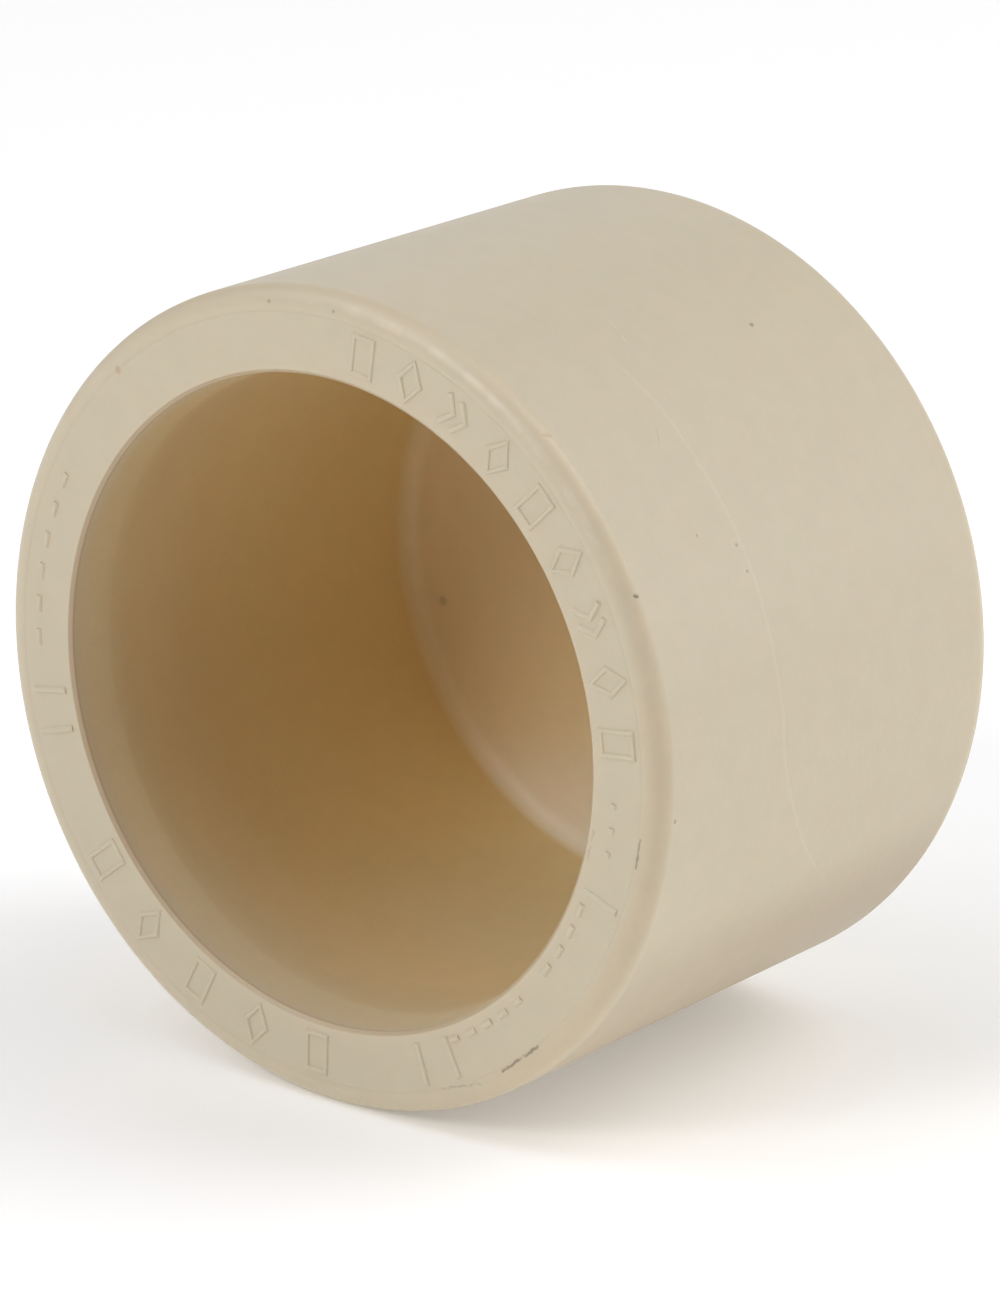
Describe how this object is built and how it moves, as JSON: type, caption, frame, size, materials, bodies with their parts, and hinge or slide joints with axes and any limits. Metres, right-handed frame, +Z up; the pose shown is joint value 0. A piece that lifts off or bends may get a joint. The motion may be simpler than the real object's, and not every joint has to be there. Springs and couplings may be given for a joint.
{
  "type": "pipe cap",
  "caption": "Solvent-weld end cap for plastic pressure pipe: a thick-walled round cup with a tapered blind socket, a lead-in at the mouth and a gently crowned closed end.",
  "frame": {"origin": "on the surface the cap lies on, under the middle of its length and its axis", "axes": "+Y along the cap's axis towards the closed end, so the mouth faces -Y; +Z up; +X to the right when looking into +Y. The cap lies on its side."},
  "size_m": [0.0412, 0.0286, 0.0413],
  "materials": {
    "cream_cpvc": "satin, injection moulded, slightly translucent cream"
  },
  "bodies": {
    "root": {"cap_body": "cream_cpvc"}
  },
  "joints": []
}
